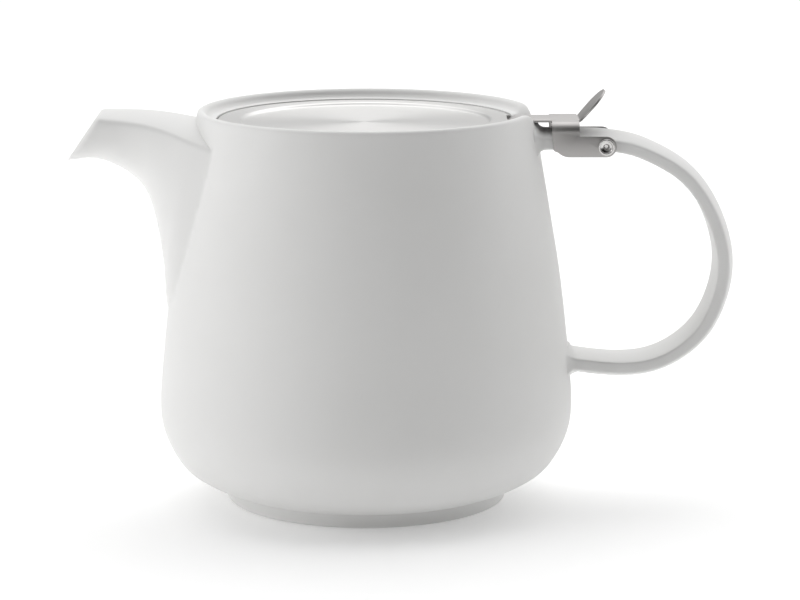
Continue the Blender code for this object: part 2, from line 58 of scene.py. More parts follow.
# ---------------------------------------------------------------- places read from the frame
POT_LOW, POT_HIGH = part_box("pot_body")
BELLY_R = (POT_HIGH.y - POT_LOW.y) / 2 / MM - 0.01      # a hair inside the CAD belly
AXIS = Vector(((POT_LOW.x + POT_HIGH.x) / 2, 0, 0))     # where the pot's turning axis stands
LIP_Z = POT_HIGH.z / MM
PIN_LOW, PIN_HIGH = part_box("hinge_pin")
PIN_X = ((PIN_LOW.x + PIN_HIGH.x) / 2 - AXIS.x) / MM
PIN_Z = (PIN_LOW.z + PIN_HIGH.z) / 2 / MM
PIN_END = PIN_HIGH.y / MM
LID_LOW, LID_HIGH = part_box("lid_disc")
LID_R = LID_HIGH.y / MM
LID_TOP = LID_HIGH.z / MM
LID_SKIRT = LID_LOW.z / MM
LEVER_HALF_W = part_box("lid_lever")[1].y / MM
CLIP_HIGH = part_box("handle_clip")[1]
HANDLE_HALF_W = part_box("handle")[1].y / MM
SPOUT_TIP_X = (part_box("spout")[0].x - AXIS.x) / MM
RIM_LOW, RIM_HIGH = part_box("infuser_rim")
FLANGE_R = RIM_HIGH.y / MM
FLANGE_TOP = RIM_HIGH.z / MM
COLLAR_LOW = RIM_LOW.z / MM
CAD_WALL_LOW, CAD_WALL_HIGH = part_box("infuser_wall")
WALL_R = CAD_WALL_HIGH.y / MM - 0.3                     # the middle of the wall's sheet
WALL_LOW = CAD_WALL_LOW.z / MM
WALL_TOP = CAD_WALL_HIGH.z / MM
BAND_LOW, BAND_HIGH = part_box("infuser_band")
FLOOR_LOW, FLOOR_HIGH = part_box("infuser_floor")


# ---------------------------------------------------------------- shape helpers

def spline(points, steps):
    """Points on a smooth curve through the given ones, with steps between each pair."""
    first = 2 * Vector(points[0]) - Vector(points[1])
    last = 2 * Vector(points[-1]) - Vector(points[-2])
    knots = [first] + [Vector(p) for p in points] + [last]
    curve = []
    for i in range(1, len(knots) - 2):
        before, start, end, after = knots[i - 1:i + 3]
        for k in range(steps):
            t = k / steps
            pull = 2 * start + (end - before) * t
            bend = (2 * before - 5 * start + 4 * end - after) * t ** 2
            twist = (3 * start - before - 3 * end + after) * t ** 3
            curve.append((pull + bend + twist) / 2)
    curve.append(knots[-2])
    return curve


def arc(centre, radius, start_deg, end_deg, steps):
    """Points on part of a circle, both ends included."""
    points = []
    for k in range(steps + 1):
        angle = math.radians(start_deg + (end_deg - start_deg) * k / steps)
        points.append((centre[0] + radius * math.cos(angle), centre[1] + radius * math.sin(angle)))
    return points


def rounded(corners, default=0.25, steps=4):
    """A run of (a, b) or (a, b, radius) corners, each but the two ends turned into a small curve."""
    outline = [Vector(corners[0][:2])]
    for before, here, after in zip(corners, corners[1:], corners[2:]):
        point = Vector(here[:2])
        radius = here[2] if len(here) > 2 else default
        back = Vector(before[:2]) - point
        ahead = Vector(after[:2]) - point
        reach = min(radius, back.length * CORNER_SHARE, ahead.length * CORNER_SHARE)
        start = point + back.normalized() * reach
        end = point + ahead.normalized() * reach
        for k in range(steps + 1):
            t = k / steps
            outline.append(start * (1 - t) ** 2 + point * 2 * t * (1 - t) + end * t ** 2)
    outline.append(Vector(corners[-1][:2]))
    return [tuple(p) for p in outline]


def to_object(name, work):
    """Turns the mesh being worked on into an object in the scene."""
    mesh = bpy.data.meshes.new(name)
    work.to_mesh(mesh)
    work.free()
    thing = bpy.data.objects.new(name, mesh)
    bpy.context.scene.collection.objects.link(thing)
    return thing


def turned(name, profile, steps, closed):
    """A profile of (radius, height) swept round the pot's axis. Open profiles start and end on it."""
    work = bmesh.new()
    rings = []
    for r, z in profile:
        if r < AXIS_R:
            rings.append([work.verts.new(AXIS + Vector((0, 0, z)) * MM)])
            continue
        ring = []
        for k in range(steps):
            angle = 2 * math.pi * k / steps
            point = Vector((r * math.cos(angle), r * math.sin(angle), z))
            ring.append(work.verts.new(AXIS + point * MM))
        rings.append(ring)
    join_rings(work, rings, closed)
    return to_object(name, work)


def join_rings(work, rings, closed):
    """Faces between each ring and the next; a ring of one point makes a fan."""
    pairs = list(zip(rings, rings[1:]))
    if closed:
        pairs.append((rings[-1], rings[0]))
    for first, second in pairs:
        count = max(len(first), len(second))
        for k in range(count):
            following = (k + 1) % count
            corners = [first[k % len(first)], first[following % len(first)],
                       second[following % len(second)], second[k % len(second)]]
            corners = [c for i, c in enumerate(corners) if c not in corners[:i]]
            if len(corners) > 2:
                work.faces.new(corners)
    bmesh.ops.recalc_face_normals(work, faces=work.faces)


def lofted(name, sections):
    """A closed skin over equal rings of points, capped at both ends by fans."""
    work = bmesh.new()
    rings = [[work.verts.new(AXIS + Vector(p) * MM) for p in section] for section in sections]
    for ring in (rings[0], rings[-1]):
        middle = sum((v.co for v in ring), Vector()) / len(ring)
        centre = work.verts.new(middle)
        for k in range(len(ring)):
            work.faces.new((ring[k], ring[(k + 1) % len(ring)], centre))
    join_rings(work, rings, False)
    return to_object(name, work)


def applied(thing):
    """The object with its modifiers made part of its mesh."""
    graph = bpy.context.evaluated_depsgraph_get()
    mesh = bpy.data.meshes.new_from_object(thing.evaluated_get(graph))
    thing.modifiers.clear()
    thing.data = mesh
    return thing


def boolean(thing, other, operation):
    """Cuts or joins the first object with the second, which is used up."""
    modifier = thing.modifiers.new(operation.lower(), "BOOLEAN")
    modifier.operation = operation
    modifier.object = other
    modifier.solver = "EXACT"
    applied(thing)
    bpy.data.objects.remove(other)
    return thing


def without_slivers(thing):
    """Welds what the booleans left behind and drops loose scraps of surface."""
    work = bmesh.new()
    work.from_mesh(thing.data)
    bmesh.ops.remove_doubles(work, verts=work.verts, dist=WELD * MM)
    bmesh.ops.dissolve_degenerate(work, edges=work.edges, dist=WELD * MM)
    bmesh.ops.triangulate(work, faces=[face for face in work.faces if len(face.verts) > 4])
    twins = {}
    for face in work.faces:
        twins.setdefault(frozenset(face.verts), []).append(face)
    folded = [face for group in twins.values() if len(group) > 1 for face in group]
    bmesh.ops.delete(work, geom=folded, context="FACES")
    seen = set()
    scraps = []
    for start in work.faces:
        if start in seen:
            continue
        seen.add(start)
        island = [start]
        for face in island:
            for other in (f for edge in face.edges for f in edge.link_faces if f not in seen):
                seen.add(other)
                island.append(other)
        if len(island) < SCRAP_FACES:
            scraps += island
    bmesh.ops.delete(work, geom=scraps, context="FACES")
    work.to_mesh(thing.data)
    work.free()
    return thing


def smooth(thing, sharp_deg=None):
    """Smooth shading, with edges steeper than the given angle kept sharp."""
    thing.data.shade_smooth()
    if sharp_deg:
        thing.data.set_sharp_from_angle(angle=math.radians(sharp_deg))
    return thing


def finished(thing, body, slot, material, *nodes):
    """Gives a piece its material, its body and the CAD nodes it stands for; slot is not used."""
    thing.data.materials.clear()
    thing.data.materials.append(material)
    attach(thing, body)
    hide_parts(*nodes)
    return thing


# ---------------------------------------------------------------- materials

class Nodes:
    """A short way to build a node tree."""

    def __init__(self, name):
        self.material = bpy.data.materials.new(name)
        self.material.use_nodes = True
        self.tree = self.material.node_tree
        self.shader = self.tree.nodes["Principled BSDF"]

    def add(self, kind, inputs=None, **settings):
        node = self.tree.nodes.new(kind)
        for key, value in settings.items():
            setattr(node, key, value)
        for key, value in (inputs or {}).items():
            if isinstance(value, bpy.types.NodeSocket):
                self.tree.links.new(value, node.inputs[key])
            else:
                node.inputs[key].default_value = value
        return node

    def link(self, socket, name):
        self.tree.links.new(socket, self.shader.inputs[name])

    def ramp(self, factor, stops):
        node = self.add("ShaderNodeValToRGB", {"Fac": factor})
        while len(node.color_ramp.elements) < len(stops):
            node.color_ramp.elements.new(0.5)
        for element, (position, colour) in zip(node.color_ramp.elements, stops):
            element.position = position
            element.color = (*colour, 1.0)
        return node.outputs["Color"]

    def mix(self, factor, a, b):
        node = self.add("ShaderNodeMix", {0: factor}, data_type="RGBA")
        for socket, value in ((node.inputs[6], a), (node.inputs[7], b)):
            if isinstance(value, bpy.types.NodeSocket):
                self.tree.links.new(value, socket)
            else:
                socket.default_value = (*value, 1.0)
        return node.outputs[2]

    def math(self, operation, a, b=0.0):
        return self.add("ShaderNodeMath", {0: a, 1: b}, operation=operation).outputs[0]


SPECK_CELLS = 52.0      # speck sites along a metre
SPECK_RARITY = 0.955    # the share of sites that stay empty
SPECK_SIZE = 0.018
SPECK_TONE = (0.25, 0.22, 0.19)


def porcelain_material():
    """Matte bisque: near-white, with faint cloudy tone, a few iron specks and a fine tooth."""
    n = Nodes("matte porcelain")
    where = n.add("ShaderNodeTexCoord").outputs["Object"]
    cloud = n.add("ShaderNodeTexNoise", {"Vector": where, "Scale": 22.0, "Detail": 3.0}).outputs["Fac"]
    base = n.ramp(cloud, [(0.3, (0.80, 0.798, 0.787)), (0.7, (0.825, 0.823, 0.814))])
    cells = n.add("ShaderNodeTexVoronoi", {"Vector": where, "Scale": SPECK_CELLS}, feature="F1")
    rare = n.add("ShaderNodeSeparateColor", {"Color": cells.outputs["Color"]}).outputs[0]
    chosen = n.math("GREATER_THAN", rare, SPECK_RARITY)
    near = n.math("LESS_THAN", cells.outputs["Distance"], SPECK_SIZE)
    speck = n.math("MULTIPLY", chosen, near)
    n.link(n.mix(n.math("MULTIPLY", speck, 0.55), base, SPECK_TONE), "Base Color")
    mottle = n.add("ShaderNodeTexNoise", {"Vector": where, "Scale": 160.0, "Detail": 2.0}).outputs["Fac"]
    rough = n.add("ShaderNodeMapRange", {"Value": mottle, "To Min": 0.5, "To Max": 0.62})
    n.link(rough.outputs["Result"], "Roughness")
    tooth = n.add("ShaderNodeTexNoise", {"Vector": where, "Scale": 1500.0, "Detail": 2.0}).outputs["Fac"]
    bump = n.add("ShaderNodeBump", {"Height": tooth, "Strength": 0.06, "Distance": 0.00004})
    wave = n.add("ShaderNodeBump", {"Height": cloud, "Strength": 0.10, "Distance": 0.0006,
                                    "Normal": bump.outputs["Normal"]})
    n.link(wave.outputs["Normal"], "Normal")
    n.shader.inputs["Specular IOR Level"].default_value = 0.38
    return n.material


GRAIN_CELLS = 2600.0    # brushing marks along a metre
ROUGH_SPREAD = 0.07


def steel_material(name, tone, rough, stretch, anisotropy, around=None):
    """Brushed steel. stretch squeezes the scratches; around gives the pivot of a turned finish."""
    n = Nodes(name)
    where = n.add("ShaderNodeTexCoord").outputs["Object"]
    if around is not None:
        shifted = n.add("ShaderNodeVectorMath", {0: where, 1: around}, operation="SUBTRACT").outputs[0]
        flat = n.add("ShaderNodeVectorMath", {0: shifted, 1: (1, 1, 0)}, operation="MULTIPLY").outputs[0]
        radius = n.add("ShaderNodeVectorMath", {0: flat}, operation="LENGTH").outputs["Value"]
        grain_place = n.add("ShaderNodeCombineXYZ", {"X": radius}).outputs[0]
        tangent = n.add("ShaderNodeTangent", direction_type="RADIAL", axis="Z").outputs[0]
        n.link(tangent, "Tangent")
        # A quarter of a turn, so that the highlights fan out from the pivot.
        n.shader.inputs["Anisotropic Rotation"].default_value = 0.25
    else:
        grain_place = n.add("ShaderNodeMapping", {"Vector": where, "Scale": stretch}).outputs[0]
        # One direction across the brushing for the whole piece, whichever way its faces turn.
        across = n.add("ShaderNodeVectorTransform", {"Vector": (0.0, 0.7, 0.7)}, vector_type="VECTOR",
                       convert_from="OBJECT", convert_to="WORLD").outputs[0]
        n.link(across, "Tangent")
    grain = n.add("ShaderNodeTexNoise", {"Vector": grain_place, "Scale": GRAIN_CELLS, "Detail": 3.0,
                                         "Roughness": 0.7}).outputs["Fac"]
    haze = n.add("ShaderNodeTexNoise", {"Vector": where, "Scale": 60.0, "Detail": 4.0}).outputs["Fac"]
    bright = tuple(c * 1.04 for c in tone)
    dull = tuple(c * 0.93 for c in tone)
    n.link(n.mix(n.math("MULTIPLY", grain, 0.55), n.mix(haze, dull, bright), bright), "Base Color")
    wear = n.math("ADD", grain, n.math("MULTIPLY", haze, 0.5))
    roughness = n.add("ShaderNodeMapRange", {"Value": wear, "From Max": 1.5, "To Min": rough - ROUGH_SPREAD,
                                             "To Max": rough + ROUGH_SPREAD})
    n.link(roughness.outputs["Result"], "Roughness")
    bump = n.add("ShaderNodeBump", {"Height": grain, "Strength": 0.12, "Distance": 0.00002})
    n.link(bump.outputs["Normal"], "Normal")
    n.shader.inputs["Metallic"].default_value = 1.0
    n.shader.inputs["Anisotropic"].default_value = anisotropy
    return n.material


# ---------------------------------------------------------------- porcelain pot

FOOT_R = 49.6
FOOT_Z = 5.4
FOOT_INNER_R = 44.4
FOOT_RECESS = 2.6
LIP_R = 57.5
LIP_INSIDE = (55.3, LIP_Z - 1.9)
LIP_OUTSIDE = (58.9, LIP_Z - 1.2)
UNDER_LIP = (59.4, 134.0)
BORE_R = 52.3
LEDGE_R = 47.6
LEDGE_Z = 131.2
SEAT_LOW = (48.0, 128.0)
FLOOR_Z = 6.8
POT_WALL = 4.4
SIDE = [(65.25, 100.0), (68.5, 80.0), (71.3, 56.0), (BELLY_R, 35.0)]
FOOT_CREASE = (52.5, FOOT_Z + 0.2)
BURY = 1.6              # how deep spout and handle reach into the pot's wall
NOTCH_HALF_W = 8.6
NOTCH_Z = 130.7
NOTCH_WALL = 0.9        # how far the notch's side takes to rise
NOTCH_STEEPNESS = 7
NOTCH_BLEND = 0.9       # how softly the notch's edges turn over
SHOULDER_HALF_W = 21    # beside the notch the lip dips over this half width
SHOULDER_DIP = 0.0358
STEPS_ROUND = 160
NOTCH_STEP_DEG = 0.22
NOTCH_STEPS = 9
RIVET_HOLE_R = 1.6
POUR_AT = (-59, 0, 102)     # the middle of the pour hole's cutter
POUR_HALF_W = 12.0
POUR_HALF_H = 19.0
POUR_LENGTH = 19.0


def belly_points():
    """The pot's outer side as (radius, height), from under the lip down to the foot's crease."""
    side = [UNDER_LIP, (61.8, 120.0)] + SIDE
    base = [(71.5, 24.0), (66.3, 14.0), (60.0, 9.0), FOOT_CREASE]
    return [(min(r, BELLY_R), z) for r, z in spline(side + base, 9)]


def rim_points():
    """Seat, shelf and rounded lip, from inside to outside."""
    seat = rounded([SEAT_LOW, (LEDGE_R, 128.6, 0.8), (LEDGE_R, LEDGE_Z, 0.5), (BORE_R, LEDGE_Z, 0.3),
                    (BORE_R, 135.3, 0.25), (54.3, 135.45, 0.8), LIP_INSIDE], 0.4, 5)
    lip = spline([LIP_INSIDE, (55.9, LIP_Z - 0.8), (56.7, LIP_Z - 0.15), (LIP_R, LIP_Z),
                  (58.35, LIP_Z - 0.3), LIP_OUTSIDE, UNDER_LIP], 4)
    return seat[:-1] + [tuple(p) for p in lip[:-1]]


def pot_profile():
    """The whole pot: up the inside from the floor, over the lip, down the outside, under the foot."""
    floor = [(0.0, FLOOR_Z), (23.0, FLOOR_Z), (46.0, FLOOR_Z + 0.2), (56.5, 10.8), (64.5, 19.0)]
    wall = [(r - POT_WALL, z) for r, z in reversed(SIDE)]
    inside = spline(floor + wall + [(57.2, 119.0), (52.6, 125.2), SEAT_LOW], 6)
    foot = rounded([FOOT_CREASE, (FOOT_R + 0.5, FOOT_Z, 0.5), (FOOT_R, 0.0, 1.1),
                    (FOOT_INNER_R, 0.0, 0.9), (FOOT_INNER_R - 0.4, FOOT_RECESS, 0.8),
                    (0.0, FOOT_RECESS)], 0.5, 6)
    return [tuple(p) for p in inside[:-1]] + rim_points() + belly_points()[:-1] + foot


def soft_min(a, b, blend):
    """The smaller of two values, rounded off where they are within blend of each other."""
    h = max(blend - abs(a - b), 0.0) / blend
    return min(a, b) - h * h * blend / 4


def angles_with_notch():
    """Angles round the pot, close together where the rim's notch has its walls."""
    edge = math.asin(NOTCH_HALF_W / LIP_R)
    coarse = [2 * math.pi * k / STEPS_ROUND for k in range(STEPS_ROUND)]
    step = math.radians(NOTCH_STEP_DEG)
    fine = []
    for sign in (-1, 1):
        fine += [sign * edge + step * k for k in range(-NOTCH_STEPS, NOTCH_STEPS + 1)]
    near = step * (NOTCH_STEPS + 1)
    kept = [a for a in coarse if min(abs(a - edge), abs(a - 2 * math.pi + edge)) > near]
    return sorted(kept + [a % (2 * math.pi) for a in fine])


def notched(x, y, z):
    """The height of a rim point once the lever's notch and its soft shoulders are cut."""
    if x <= 0 or math.hypot(x, y) <= BORE_R - 6 or z <= NOTCH_Z - 1:
        return z
    wall = (abs(y) - NOTCH_HALF_W) / NOTCH_WALL
    shoulder = LIP_Z + NOTCH_BLEND - SHOULDER_DIP * max(SHOULDER_HALF_W - abs(y), 0.0) ** 2
    top = NOTCH_Z + (shoulder - NOTCH_Z) / (1 + math.exp(-NOTCH_STEEPNESS * wall))
    return soft_min(z, top, NOTCH_BLEND)


def make_pot():
    """The turned pot alone, with the lever's notch in its rim."""
    work = bmesh.new()
    angles = angles_with_notch()
    rings = []
    for r, z in pot_profile():
        if r < AXIS_R:
            rings.append([work.verts.new(AXIS + Vector((0, 0, z)) * MM)])
            continue
        ring = []
        for angle in angles:
            x, y = r * math.cos(angle), r * math.sin(angle)
            ring.append(work.verts.new(AXIS + Vector((x, y, notched(x, y, z))) * MM))
        rings.append(ring)
    join_rings(work, rings, False)
    return to_object("porcelain_pot", work)


def outside_radius(z):
    """The pot's outer radius at a height, from its profile."""
    points = [(LIP_R, LIP_Z + 8), LIP_OUTSIDE] + belly_points()
    for (r0, z0), (r1, z1) in zip(points, points[1:]):
        if z1 <= z <= z0:
            return r0 + (r1 - r0) * (z0 - z) / max(z0 - z1, 1e-9)
    return FOOT_R


def envelope(name, offset):
    """A solid of the pot's outside, larger by offset, to trim what joins it."""
    above = (58.0, LIP_Z + 10)
    side = [(r + offset, z) for r, z in [above, LIP_OUTSIDE] + belly_points()]
    return turned(name, [(0.0, above[1])] + side + [(0.0, FOOT_Z)], STEPS_ROUND, False)


SPOUT_STATIONS = [
    # keel x, keel z, crest x, crest z, half width of the roof
    (-60.0, 56.0, -48.0, 133.2, 33.0),
    (-69.2, 66.0, -59.0, 134.9, 26.0),
    (-71.0, 84.0, -65.5, 136.2, 22.0),
    (-73.2, 98.5, -71.5, 137.2, 18.8),
    (-76.6, 109.5, -77.5, 137.8, 16.2),
    (-82.0, 115.7, -82.5, 138.0, 14.4),
    (-89.5, 119.9, -86.5, 138.1, 13.3),
    (-96.5, 121.4, -89.7, 138.1, 12.6),
    (SPOUT_TIP_X, 120.3, -92.4, 138.1, 12.0),
]
ROOF_DROP = 0.185       # how far the roof's edges lie below its crest, for each unit of half width
KEEL_ROUNDNESS = 0.82
FLARE = 1.1
CREASE_R = 1.7          # how soft the edge between roof and side is
MOUTH_R = 4.5           # how far back from the mouth its outer edge starts to round
MOUTH_ROLL = 1.5        # how much the outer edge has drawn in at the mouth
ROLL_LENGTHWISE = 0.2   # the share of that which the mouth's top and bottom take
SPOUT_WALL = 3.2
PAST_MOUTH = 2.5        # in steps between the last two stations
SHORT_OF_WALL = 0.5
SIDE_STEPS = 18
CREASE_STEPS = 6
ROOF_STEPS = 7


def set_in(points, distance):
    """The same run of points moved sideways, to its right."""
    moved = []
    for k, point in enumerate(points):
        run = (points[min(k + 1, len(points) - 1)] - points[max(k - 1, 0)]).normalized()
        moved.append(point + Vector((run[1], -run[0])) * distance)
    return moved


def spout_section(keel, crest, half):
    """A ring of points: a rounded keel under a gently arched roof, with softened edges between."""
    foot = Vector((keel[0], 0, keel[1]))
    rise = Vector((crest[0], 0, crest[1])) - foot
    height = rise.length
    up = rise.normalized()
    drop = ROOF_DROP * half
    edge = Vector((half, height - drop))
    last_turn = math.acos(1 - ((edge[1] - CREASE_R) / edge[1]) ** (1 / FLARE))
    side = []
    for k in range(1, SIDE_STEPS + 1):
        turn = last_turn * k / SIDE_STEPS
        side.append((half * math.sin(turn) ** KEEL_ROUNDNESS, edge[1] * (1 - math.cos(turn)) ** FLARE))
    share = 1 - CREASE_R / half
    start, end = Vector(side[-1]), Vector((half * share, height - drop * share ** 2))
    for k in range(1, CREASE_STEPS):
        t = k / CREASE_STEPS
        side.append(tuple(start * (1 - t) ** 2 + edge * 2 * t * (1 - t) + end * t ** 2))
    shares = [share * (ROOF_STEPS - k) / ROOF_STEPS for k in range(ROOF_STEPS + 1)]
    roof = [(half * t, height - drop * t * t) for t in shares]
    right = side + roof
    left = [(-y, v) for y, v in reversed(right[:-1])]
    return [foot + Vector((0, y, 0)) + up * v for y, v in [(0.0, 0.0)] + right + left]


def make_spout():
    """The spout's outside, and the channel to be cut through it."""
    stations = spline([Vector(s) for s in SPOUT_STATIONS], 9)
    mouth = Vector(stations[-1][0:2])

    def shells(wall):
        keel = set_in([Vector(s[0:2]) for s in stations], wall)
        crest = set_in([Vector(s[2:4]) for s in stations], -wall)
        return [spout_section(k, c, s[4] - wall) for k, c, s in zip(keel, crest, stations)]

    def rolled(section, station):
        """A section near the mouth drawn in towards its middle, for a rounded outer edge."""
        near = max(1 - (Vector(station[0:2]) - mouth).length / MOUTH_R, 0.0)
        middle = (section[0] + section[len(section) // 2]) / 2
        moved = []
        for point in section:
            pull = (middle - point).normalized() * MOUTH_ROLL * near ** 2
            moved.append(point + Vector((pull.x * ROLL_LENGTHWISE, pull.y, pull.z * ROLL_LENGTHWISE)))
        return moved

    skin = lofted("spout_skin", [rolled(a, s) for a, s in zip(shells(0.0), stations)])
    boolean(skin, envelope("spout_trim", -BURY), "DIFFERENCE")
    hollow = shells(SPOUT_WALL)
    # The channel runs on past the mouth, and stops just short of the pot's wall.
    hollow[-1] = [last + (last - before) * PAST_MOUTH for before, last in zip(hollow[-2], hollow[-1])]
    channel = lofted("spout_channel", hollow)
    boolean(channel, envelope("channel_trim", SHORT_OF_WALL), "DIFFERENCE")
    return skin, channel


HANDLE_POINTS = [(54, 125.5), (70, 125.4), (84.5, 124.9), (96, 122.2), (109.5, 114.4), (118.2, 102.6),
                 (122.9, 88), (121.9, 74.5), (115.6, 61.4), (103.5, 52.4), (88, 50.0), (62, 53.2)]
STRAP_EDGE = 4.0        # the strap's thickness at its edges
STRAP_DOME = 2.3        # how much thicker it is in the middle
ROOT_FILLET = 3.2
ROOT_TOP = 134.2        # the fillet stays below this, clear of the lever's arm
ROOT_BLEND = 0.6


def strap_outline():
    """The strap's cross-section as (across, out) points: flat inside, crisp edges, domed outside."""
    half = HANDLE_HALF_W
    dome = [(half * t, STRAP_EDGE + STRAP_DOME * (1 - t * t)) for t in (1.0, 0.8, 0.6, 0.4, 0.2, 0.0)]
    corners = [(0.0, 0.0), (half * 0.5, 0.0, 0.2), (half, 0.0, 0.9), (half, STRAP_EDGE, 0.9)]
    right = rounded(corners + dome[1:], 0.6, 4)
    return right + [(-y, d) for y, d in reversed(right[1:-1])]


def make_handle():
    """The strap swept along its curve, swelling into a fillet where it meets the pot."""
    curve = spline(HANDLE_POINTS, 14)
    outline = strap_outline()
    sections = []
    for k, point in enumerate(curve):
        run = (curve[min(k + 1, len(curve) - 1)] - curve[max(k - 1, 0)]).normalized()
        out = Vector((-run[1], run[0]))
        section = []
        for y, d in outline:
            x, z = point[0] + out[0] * d, point[1] + out[1] * d
            clear = math.hypot(x, y) - outside_radius(z)
            reach = min(max(1 - clear / ROOT_FILLET, 0.0), 1.0)
            grow = ROOT_FILLET * (1 - math.sqrt(1 - reach * reach)) if reach < 1 else ROOT_FILLET
            side = Vector((y / HANDLE_HALF_W, (d - STRAP_EDGE * 0.6) / (STRAP_EDGE * 0.8)))
            push = side.normalized() * grow if side.length > 0.1 else Vector((0, 0))
            y2, d2 = y + push[0], d + push[1]
            height = soft_min(point[1] + out[1] * d2, ROOT_TOP, ROOT_BLEND)
            section.append((point[0] + out[0] * d2, y2, height))
        sections.append(section)
    handle = lofted("handle_skin", sections)
    return boolean(handle, envelope("handle_trim", -BURY), "DIFFERENCE")


def cylinder(name, radius, length, place, axis, steps=32):
    """A round cutter centred on a place and lying along an axis."""
    work = bmesh.new()
    bmesh.ops.create_cone(work, cap_ends=True, segments=steps, radius1=radius * MM, radius2=radius * MM,
                          depth=length * MM)
    turn = Vector((0, 0, 1)).rotation_difference(Vector(axis)).to_matrix().to_4x4()
    bmesh.ops.transform(work, matrix=Matrix.Translation(AXIS + Vector(place) * MM) @ turn, verts=work.verts)
    return to_object(name, work)


def rivet_bore():
    return cylinder("rivet_bore", RIVET_HOLE_R, 40.0, (PIN_X, 0, PIN_Z), (0, 1, 0))


def make_porcelain(material):
    """Pot, spout and handle as one skin, with the spout's channel, the pour hole and the rivet's bore."""
    pot = make_pot()
    spout, channel = make_spout()
    boolean(pot, spout, "UNION")
    boolean(pot, make_handle(), "UNION")
    boolean(pot, channel, "DIFFERENCE")
    hole = cylinder("pour_hole", POUR_HALF_W, POUR_LENGTH, POUR_AT, (1, 0, 0), 40)
    middle = POUR_AT[2] * MM
    for vertex in hole.data.vertices:
        vertex.co.z = middle + (vertex.co.z - middle) * POUR_HALF_H / POUR_HALF_W
    boolean(pot, hole, "DIFFERENCE")
    boolean(pot, rivet_bore(), "DIFFERENCE")
    without_slivers(pot)
    smooth(pot, 60)
    return finished(pot, "pot", "porcelain", material, "pot_body", "spout", "handle")


# ---------------------------------------------------------------- steel sheet parts

SHEET_WELD = 0.01       # corners of neighbouring faces closer than this are one corner


def sheet(name, faces, thickness, edge=0.12):
    """Bent sheet metal from its middle surface: one half given, mirrored, thickened, edges eased."""
    work = bmesh.new()
    for face in faces:
        work.faces.new([work.verts.new(AXIS + Vector(p) * MM) for p in face])
    bmesh.ops.remove_doubles(work, verts=work.verts, dist=SHEET_WELD * MM)
    bmesh.ops.recalc_face_normals(work, faces=work.faces)
    thing = to_object(name, work)
    mirror = thing.modifiers.new("mirror", "MIRROR")
    mirror.use_axis = (False, True, False)
    mirror.use_clip = True
    mirror.merge_threshold = SHEET_WELD * MM
    solid = thing.modifiers.new("thickness", "SOLIDIFY")
    solid.thickness = thickness * MM
    solid.offset = 0.0
    solid.use_even_offset = True
    bevel = thing.modifiers.new("ease", "BEVEL")
    bevel.width = edge * MM
    bevel.segments = 2
    bevel.limit_method = "ANGLE"
    bevel.angle_limit = math.radians(50)
    return applied(thing)


def bend_faces(x_low, x_high, y_side, z_top, radius, steps=16):
    """A quarter bend from a level plate down into a flange at y_side."""
    points = arc((y_side - radius, z_top - radius), radius, 90, 0, steps)
    return [[(x_low, y0, z0), (x_high, y0, z0), (x_high, y1, z1), (x_low, y1, z1)]
            for (y0, z0), (y1, z1) in zip(points, points[1:])]


LEVER_SHEET = 0.7
LEVER_TOP = 135.3
LEVER_BEND_R = 3.1
EAR_R = 3.6
EAR_FRONT_R = 5.9
ARM_HALF_W = 7.75
ARM_CORNER = 0.4
PLATE_FRONT, PLATE_REAR = 64.7, 74.2
TONGUE_FRONT, TONGUE_REAR = 46.0, 50.2      # the tongue lies in the lid's slot
TONGUE_Z = 133.5
JOGGLE_REAR = 52.6
TAB_ROOT_HALF_W = 7.4
TAB_HALF_W = 8.7
TAB_LENGTH = 12.96
TAB_WIDEST = 5.3        # how far along it is widest
TAB_SLOPE = math.radians(48.5)
TAB_BEND_R = 1.0
TAB_BEND_STEPS = 6


def ear_outline(top):
    """The ear's side view below the bend, as (along, height) points."""
    low = PIN_Z - EAR_R
    outline = [(PLATE_FRONT, top), (PLATE_REAR, top), (PLATE_REAR, PIN_Z + EAR_R)]
    outline += arc((PIN_X, PIN_Z), EAR_R, 88, -90, 26)
    outline += arc((PLATE_FRONT + 6.2, low + EAR_FRONT_R), EAR_FRONT_R, -90, -168, 12)
    return outline


def tab_faces(level):
    """The thumb tab: a small bend up from the plate, then a flat oval tongue."""
    rows = []
    for k in range(TAB_BEND_STEPS + 1):
        angle = TAB_SLOPE * k / TAB_BEND_STEPS
        rows.append((PLATE_REAR + TAB_BEND_R * math.sin(angle), level + TAB_BEND_R * (1 - math.cos(angle))))
    faces = [[(x0, 0, z0), (x1, 0, z1), (x1, TAB_ROOT_HALF_W, z1), (x0, TAB_ROOT_HALF_W, z0)]
             for (x0, z0), (x1, z1) in zip(rows, rows[1:])]
    edge = [(0.0, 0.0), (TAB_LENGTH, 0.0)]
    for along, across in arc((0, 0), 1.0, 0, 90, 24)[1:]:
        edge.append((TAB_WIDEST + (TAB_LENGTH - TAB_WIDEST) * along, TAB_HALF_W * across))
    edge += [(4.0, TAB_HALF_W - 0.08), (2.6, TAB_HALF_W - 0.32), (1.2, TAB_HALF_W - 0.78),
             (0.0, TAB_ROOT_HALF_W)]
    start_x, start_z = rows[-1]
    faces.append([(start_x + a * math.cos(TAB_SLOPE), y, start_z + a * math.sin(TAB_SLOPE))
                  for a, y in edge])
    return faces


